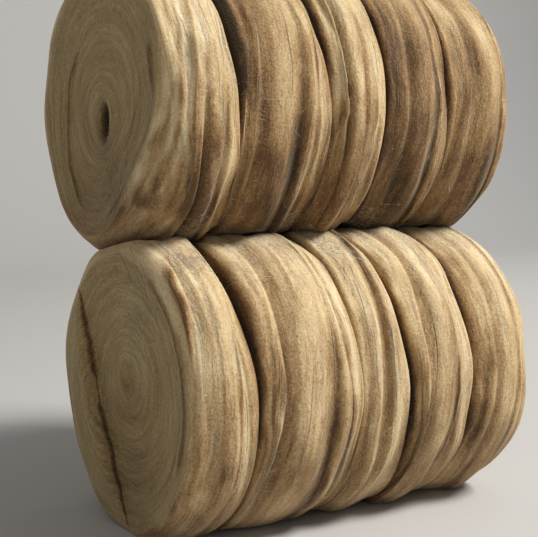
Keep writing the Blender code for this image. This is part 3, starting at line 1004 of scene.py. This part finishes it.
for (row, number), surface in surfaces.items():
    surface["normals"] = surface_normals(surface["places"])
    rows = len(surface["places"])
    rim_from = SHOULDER_RINGS + (FACE_RINGS if number == 1 else HIDDEN_RINGS)
    last_rings = FACE_RINGS if number == len(ROLLS[row]) else HIDDEN_RINGS
    rim_to = rows - SHOULDER_RINGS - last_rings
    draw = np.random.default_rng(500 + 10 * number + len(row) + ord(row[0]))
    starts = (
        draw.uniform(rim_from, rim_to, LOCKS_A_ROLL),
        draw.uniform(0.0, ROUND_STEPS, LOCKS_A_ROLL),
    )
    lengths = draw.uniform(*LOCK_LENGTHS, LOCKS_A_ROLL)
    slopes = draw.normal(0.0, LOCK_SLOPE, LOCKS_A_ROLL)
    bends = draw.normal(0.0, LOCK_BEND, LOCKS_A_ROLL)
    paths, outward, along = lay_along(surface, row, starts, lengths, slopes, bends, LOCK_POINTS)
    taper = np.sin(math.pi * along) ** 0.7
    half_widths = draw.uniform(*LOCK_HALF_WIDTHS, LOCKS_A_ROLL)[:, None] * MM * taper + LOCK_TIP
    proud = (0.5 * taper - 0.4) * MM
    paths = paths + outward * proud[..., None]
    thick = LOCK_FLATNESS * half_widths
    locks = strands(f"{row}_locks_{number}", paths, outward, half_widths, thick, LOCK_SIDES)
    tones = tone_at(surface, starts) + draw.normal(0.02, 0.07, LOCKS_A_ROLL)
    add_strand_values(locks, tones, LOCKS_A_ROLL, LOCK_POINTS, LOCK_SIDES, draw)
    dress(locks, row, number)

# The fuzz
# Single fibres that stand off the rolls. Most lie close along the winding, some cross it or end
# free, and more of them gather where rolls and rows touch.
HAIRS_A_ROLL = 1000
HAIR_POINTS = 7
HAIR_SIDES = 3
HAIR_LENGTHS = (0.012, 0.060)
HAIR_HALF_WIDTHS = (0.09, 0.20)
HAIR_WAVES = (4.0, 11.0)
FREE_SHARE = 0.45
BARE_RINGS = 8

# Where the rows touch, in degrees, the share of fibres there and their spread in steps
CONTACT_ANGLE = {"lower": 72.0, "upper": -64.0}
CONTACT_SHARE = 0.30
CONTACT_SPREAD = 5.0

# How fibres slope and bend in a tangle and elsewhere, and what else a tangle changes
HAIR_SLOPES = (0.8, 0.25)
HAIR_BENDS = (0.45, 0.16)
TANGLE_LENGTH = 0.4
TANGLE_RISE = 2.0
TANGLE_THICKNESS = 1.1
TANGLE_TONE = 0.60

# Where the fibre is tangled: roll, place and angle, how far it spreads, how many fibres
TANGLES = {
    "lower": [
        (1, 30.0, 59.0, 9.0, 150),
        (1, 50.0, 57.0, 8.0, 110),
        (2, 82.0, 50.0, 8.0, 60),
        (3, 200.0, 62.0, 10.0, 60),
    ],
    "upper": [
        (1, 52.0, -49.0, 8.0, 140),
        (1, 38.0, -53.0, 8.0, 120),
        (2, 90.0, 2.0, 7.0, 25),
        (2, 88.0, -38.0, 8.0, 30),
        (2, 165.0, -50.0, 8.0, 70),
        (3, 190.0, -52.0, 8.0, 60),
        (4, 255.0, -48.0, 8.0, 60),
    ],
}


def spread_down(surface, row, first, last, shares):
    """Places down a roll's grid that share its area evenly."""
    places = surface["places"] - (0.0, *row_axis(row))
    radius = np.hypot(places[..., 1], places[..., 2]).mean(axis=1)
    spacing = np.linalg.norm(np.diff(places, axis=0), axis=2).mean(axis=1)
    area = (0.5 * (radius[1:] + radius[:-1]) * spacing)[first:last]
    total = np.concatenate([[0.0], np.cumsum(area)])
    return first + np.interp(shares * total[-1], total, np.arange(len(total)))


def grid_turn(degrees):
    """How many steps round the grid an angle is."""
    return (math.radians(degrees) - SEAM_ANGLE) * ROUND_STEPS / (2.0 * math.pi)


for (row, number), surface in surfaces.items():
    rows = len(surface["places"])
    face_from = BARE_RINGS if number == 1 else SHOULDER_RINGS - 1
    face_to = rows - (BARE_RINGS if number == len(ROLLS[row]) else SHOULDER_RINGS - 1)
    draw = np.random.default_rng(900 + 10 * number + len(row) + ord(row[0]))
    at_contact = draw.random(HAIRS_A_ROLL) < CONTACT_SHARE
    around = np.where(
        at_contact,
        draw.normal(grid_turn(CONTACT_ANGLE[row]), CONTACT_SPREAD, HAIRS_A_ROLL),
        draw.uniform(0.0, ROUND_STEPS, HAIRS_A_ROLL),
    )
    starts = (spread_down(surface, row, face_from, face_to, draw.random(HAIRS_A_ROLL)), around)
    first = 0
    in_tangle = np.zeros(HAIRS_A_ROLL, dtype=bool)
    row_places = (surface["places"][..., 0] - FIRST_FACE[0]) / MM
    for roll, at, angle, spread, many in TANGLES[row]:
        if roll == number:
            these = slice(first, first + many)
            stray = draw.normal(0.0, spread * MM / RADIUS, many)
            turn = grid_turn(angle) + stray * ROUND_STEPS / (2.0 * math.pi)
            down = draw.normal(at, spread, many)
            column = row_places[:, round(float(turn.mean())) % ROUND_STEPS]
            down = np.interp(down, np.maximum.accumulate(column), np.arange(rows))
            starts[0][these] = np.clip(down, face_from, face_to)
            starts[1][these] = turn
            in_tangle[these] = True
            first += many
    lengths = draw.uniform(*HAIR_LENGTHS, HAIRS_A_ROLL)
    lengths = np.where(in_tangle, TANGLE_LENGTH * lengths, lengths)
    slopes = draw.normal(0.0, np.where(in_tangle, *HAIR_SLOPES))
    bends = draw.normal(0.0, np.where(in_tangle, *HAIR_BENDS))
    paths, outward, along = lay_along(surface, row, starts, lengths, slopes, bends, HAIR_POINTS)
    rise = draw.gamma(1.6, 0.6, HAIRS_A_ROLL) * np.where(in_tangle, TANGLE_RISE, 1.0)
    rise = rise[:, None] * MM
    free = draw.random(HAIRS_A_ROLL)[:, None] < FREE_SHARE
    lift = np.where(free, along**1.5, np.sin(math.pi * along)) * rise - 0.25 * MM
    waves = draw.uniform(-1.0, 1.0, (HAIRS_A_ROLL, 1, 3)) * np.sin(
        draw.uniform(*HAIR_WAVES, (HAIRS_A_ROLL, 1, 1)) * along[..., None]
        + draw.uniform(0.0, 6.3, (HAIRS_A_ROLL, 1, 1))
    )
    paths = paths + outward * lift[..., None] + waves * (0.6 * rise * along)[..., None]
    thick = draw.uniform(*HAIR_HALF_WIDTHS, HAIRS_A_ROLL)[:, None] * MM
    thick = thick * np.where(free, 1.0 - 0.8 * along, 1.0)
    thick = thick * np.where(in_tangle, TANGLE_THICKNESS, 1.0)[:, None]
    fuzz = strands(f"{row}_fuzz_{number}", paths, outward, thick, thick, HAIR_SIDES)
    tones = tone_at(surface, starts) + draw.normal(0.06, 0.09, HAIRS_A_ROLL)
    tones = np.where(in_tangle, draw.normal(TANGLE_TONE, 0.10, HAIRS_A_ROLL), tones)
    add_strand_values(fuzz, tones, HAIRS_A_ROLL, HAIR_POINTS, HAIR_SIDES, draw)
    dress(fuzz, row, number)

# The floor
# A plain pale studio sweep, flat under the bundle and curving up far behind it. It isn't part of
# the bundle.
FLOOR_SIZE = 36.0
FLOOR_STEPS = 192
SWEEP_START = 2.4
SWEEP_RADIUS = 1.6
bpy.ops.mesh.primitive_grid_add(x_subdivisions=2, y_subdivisions=FLOOR_STEPS, size=FLOOR_SIZE)
floor = bpy.context.object
floor.name = "floor"
flat = np.zeros(len(floor.data.vertices) * 3)
floor.data.vertices.foreach_get("co", flat)
flat = flat.reshape(-1, 3)
past = np.maximum(flat[:, 1] - SWEEP_START, 0.0)
bend = np.minimum(past / SWEEP_RADIUS, math.pi / 2.0)
wall = np.maximum(past - SWEEP_RADIUS * math.pi / 2.0, 0.0)
flat[:, 1] = np.minimum(flat[:, 1], SWEEP_START) + SWEEP_RADIUS * np.sin(bend)
flat[:, 2] = SWEEP_RADIUS * (1.0 - np.cos(bend)) + wall
floor.data.vertices.foreach_set("co", flat.ravel())
floor.data.shade_smooth()
paper = bpy.data.materials.new("floor_paper")
paper.use_nodes = True
sheet = paper.node_tree.nodes["Principled BSDF"]
sheet.inputs["Base Color"].default_value = (0.56, 0.55, 0.535, 1.0)
sheet.inputs["Roughness"].default_value = 0.9
floor.data.materials.append(paper)

# The camera
# It stands where the photograph was taken from, low and to the left of the rows' front.
bpy.ops.object.camera_add(location=(-0.6572, -0.9971, 0.3466))
camera = bpy.context.object
camera.rotation_euler = (math.radians(84.8), math.radians(0.37), math.radians(-32.62))
camera.data.sensor_width = 36.0
camera.data.lens = 76.8
camera.data.dof.use_dof = False
bpy.context.scene.camera = camera

# The light
# A soft light high at the front right, a weak one from the left, and pale air all round.
MIDDLE = (0.0, 0.0, 0.28)


def add_light(name, location, size, power, colour, target=MIDDLE):
    """A square area light that looks at its target."""
    bpy.ops.object.light_add(type="AREA", location=location)
    light = bpy.context.object
    light.name = name
    light.data.size = size
    light.data.energy = power
    light.data.color = colour
    aim = np.array(target) - np.array(location)
    light.rotation_euler = (
        math.atan2(math.hypot(aim[0], aim[1]), -aim[2]),
        0.0,
        math.atan2(aim[1], aim[0]) - math.pi / 2.0,
    )


add_light("key", (1.90, -2.03, 3.35), 1.15, 214.0, (1.0, 0.98, 0.945))
add_light("fill", (-1.9, -1.3, 0.9), 1.4, 3.0, (0.97, 0.98, 1.0))
add_light("backdrop", (2.6, 1.4, 2.8), 2.5, 22.0, (1.0, 1.0, 1.0), (2.6, 4.0, 0.8))
world = bpy.data.worlds.new("studio")
world.use_nodes = True
air = world.node_tree.nodes["Background"]
air.inputs["Color"].default_value = (0.97, 0.97, 0.96, 1.0)
air.inputs["Strength"].default_value = 0.25
bpy.context.scene.world = world
bpy.context.scene.view_settings.view_transform = "Standard"
